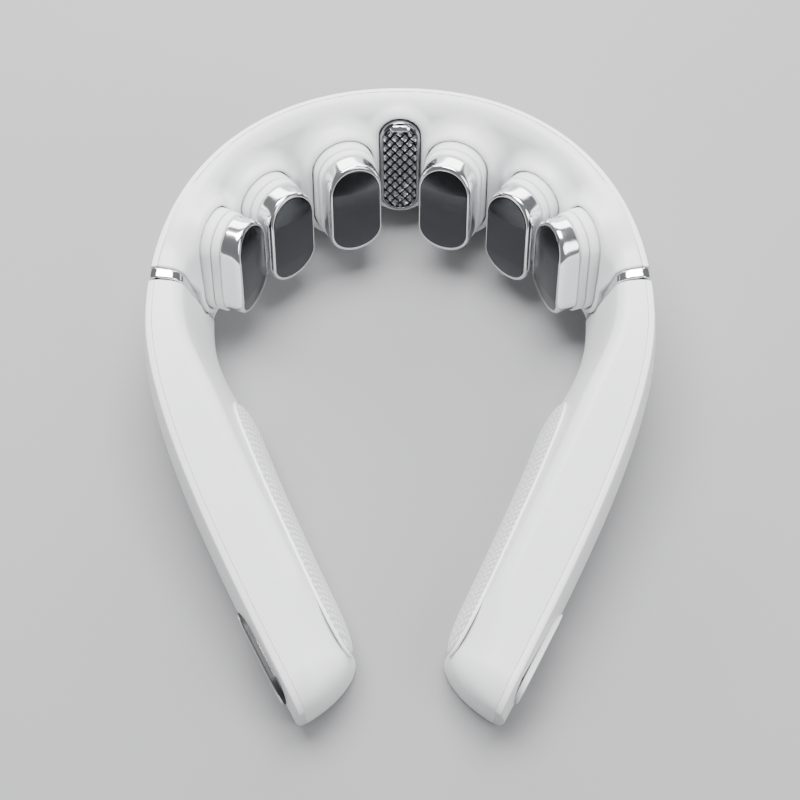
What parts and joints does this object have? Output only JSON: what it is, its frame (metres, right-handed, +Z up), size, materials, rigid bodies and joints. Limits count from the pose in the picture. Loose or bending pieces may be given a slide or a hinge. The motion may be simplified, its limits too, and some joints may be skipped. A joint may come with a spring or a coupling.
{
  "type": "shiatsu neck massager",
  "caption": "Horseshoe neck massager with sprung chrome electrode heads on soft necks, a knurled heat plate, chrome joint rings and two hinged, padded arms.",
  "frame": {"origin": "centre of the bounding box on the plane the massager lies on", "axes": "+Y towards the nape, +Z up off the surface it lies on, -X the wearer-facing left arm with the controls"},
  "size_m": [0.162, 0.199, 0.049],
  "materials": {
    "casing": "fine satin, cool off-white",
    "rim": "satin wall with a gloss bevelled edge strip, cool white",
    "soft": "smooth soft-touch elastomer, white",
    "knit": "fine diagonal knit over foam, white",
    "chrome": "polished plating",
    "silver": "silver metallised, satin",
    "steel": "plain, bright",
    "frame": "moulded, charcoal",
    "board": "lacquered circuit board",
    "cell": "shrink sleeve"
  },
  "bodies": {
    "centre": {"centre_outer_shell": "rim", "centre_inner_cover": "casing", "chassis": "frame", "chassis_screw_left": "steel", "chassis_screw_right": "steel", "heat_plate": "chrome", "heater_board": "board", "ring_left": "chrome", "ring_right": "chrome", "return_leaf_left": "steel", "return_leaf_right": "steel", "hinge_pin_left": "steel", "hinge_pin_right": "steel", "head_spring_inner_left": "steel", "head_spring_inner_right": "steel", "head_spring_middle_left": "steel", "head_spring_middle_right": "steel", "head_spring_outer_left": "steel", "head_spring_outer_right": "steel"},
    "head_inner_left": {"head_cap_inner_left": "chrome", "head_carrier_inner_left": "soft", "head_sleeve_inner_left": "soft"},
    "head_inner_right": {"head_cap_inner_right": "chrome", "head_carrier_inner_right": "soft", "head_sleeve_inner_right": "soft"},
    "head_middle_left": {"head_cap_middle_left": "chrome", "head_carrier_middle_left": "soft", "head_sleeve_middle_left": "soft"},
    "head_middle_right": {"head_cap_middle_right": "chrome", "head_carrier_middle_right": "soft", "head_sleeve_middle_right": "soft"},
    "head_outer_left": {"head_cap_outer_left": "chrome", "head_carrier_outer_left": "soft", "head_sleeve_outer_left": "soft"},
    "head_outer_right": {"head_cap_outer_right": "chrome", "head_carrier_outer_right": "soft", "head_sleeve_outer_right": "soft"},
    "arm_left": {"arm_outer_shell_left": "rim", "arm_inner_shell_left": "casing", "arm_pad_left": "knit", "hinge_bracket_left": "steel", "control_bezel": "chrome", "switch_board": "board", "battery": "cell", "battery_bracket": "frame"},
    "rocker": {"control_rocker": "silver"},
    "button": {"power_button": "silver"},
    "arm_right": {"arm_outer_shell_right": "rim", "arm_inner_shell_right": "casing", "arm_pad_right": "knit", "hinge_bracket_right": "steel", "speaker_grille": "casing", "speaker": "frame", "main_board": "board", "board_bracket": "frame", "charge_port": "steel"}
  },
  "joints": [
    {"name": "head_inner_left_press", "type": "slide", "parent": "centre", "child": "head_inner_left", "axis": [-0.3256, 0.8569, -0.3996], "range_m": [0, 0.0045], "stiffness_N_per_m": 900, "springref_m": -0.002, "deforming": ["head_spring_inner_left"]},
    {"name": "head_inner_right_press", "type": "slide", "parent": "centre", "child": "head_inner_right", "axis": [0.3256, 0.8569, -0.3996], "range_m": [0, 0.0045], "stiffness_N_per_m": 900, "springref_m": -0.002, "deforming": ["head_spring_inner_right"]},
    {"name": "head_middle_left_press", "type": "slide", "parent": "centre", "child": "head_middle_left", "axis": [-0.6691, 0.6735, -0.3141], "range_m": [0, 0.0045], "stiffness_N_per_m": 900, "springref_m": -0.002, "deforming": ["head_spring_middle_left"]},
    {"name": "head_middle_right_press", "type": "slide", "parent": "centre", "child": "head_middle_right", "axis": [0.6691, 0.6735, -0.3141], "range_m": [0, 0.0045], "stiffness_N_per_m": 900, "springref_m": -0.002, "deforming": ["head_spring_middle_right"]},
    {"name": "head_outer_left_press", "type": "slide", "parent": "centre", "child": "head_outer_left", "axis": [-0.9135, 0.3686, -0.1719], "range_m": [0, 0.0045], "stiffness_N_per_m": 900, "springref_m": -0.002, "deforming": ["head_spring_outer_left"]},
    {"name": "head_outer_right_press", "type": "slide", "parent": "centre", "child": "head_outer_right", "axis": [0.9135, 0.3686, -0.1719], "range_m": [0, 0.0045], "stiffness_N_per_m": 900, "springref_m": -0.002, "deforming": ["head_spring_outer_right"]},
    {"name": "arm_left_swing", "type": "hinge", "parent": "centre", "child": "arm_left", "pos_m": [-0.07466, 0.02752, 0.0195], "axis": [0, 0, -1], "range_deg": [0, 6], "stiffness_Nm_per_rad": 3, "springref_deg": -2.86, "deforming": ["return_leaf_left"]},
    {"name": "arm_right_swing", "type": "hinge", "parent": "centre", "child": "arm_right", "pos_m": [0.07466, 0.02752, 0.0195], "axis": [0, 0, 1], "range_deg": [0, 6], "stiffness_Nm_per_rad": 3, "springref_deg": -2.86, "deforming": ["return_leaf_right"]},
    {"name": "rocker_tilt", "type": "hinge", "parent": "arm_left", "child": "rocker", "pos_m": [-0.04223, -0.0811, 0.0152], "axis": [0.0617, 0.0325, 0.9976], "range_deg": [-2.5, 2.5], "stiffness_Nm_per_rad": 0.5},
    {"name": "button_press", "type": "slide", "parent": "arm_left", "child": "button", "axis": [0.8829, 0.4643, -0.0698], "range_m": [0, 0.0008], "stiffness_N_per_m": 500, "springref_m": -0.0004}
  ]
}
